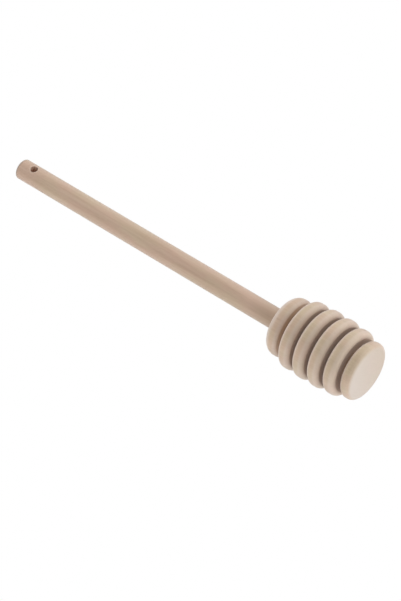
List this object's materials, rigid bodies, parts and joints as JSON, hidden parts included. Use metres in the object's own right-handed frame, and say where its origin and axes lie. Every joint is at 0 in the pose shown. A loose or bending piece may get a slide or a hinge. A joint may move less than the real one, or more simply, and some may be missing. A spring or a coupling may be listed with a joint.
{
  "type": "wooden honey dipper",
  "caption": "Turned beech honey dipper: a round grooved head with a flat end face, glued on a slim dowel handle with a hanging hole near its free end.",
  "frame": {"origin": "centre of the flat end face of the head, on which the dipper stands", "axes": "+Z along the dipper's axis, from the end face of the head up to the free end of the handle. +X along the hanging hole, which runs the same both ways"},
  "size_m": [0.027, 0.027, 0.1632],
  "materials": {
    "handle_beech": "unfinished sanded beech dowel, grain along the handle",
    "head_beech": "unfinished turned beech, grain along the head, end grain on its face"
  },
  "bodies": {
    "root": {"handle": "handle_beech", "head": "head_beech"}
  },
  "joints": []
}
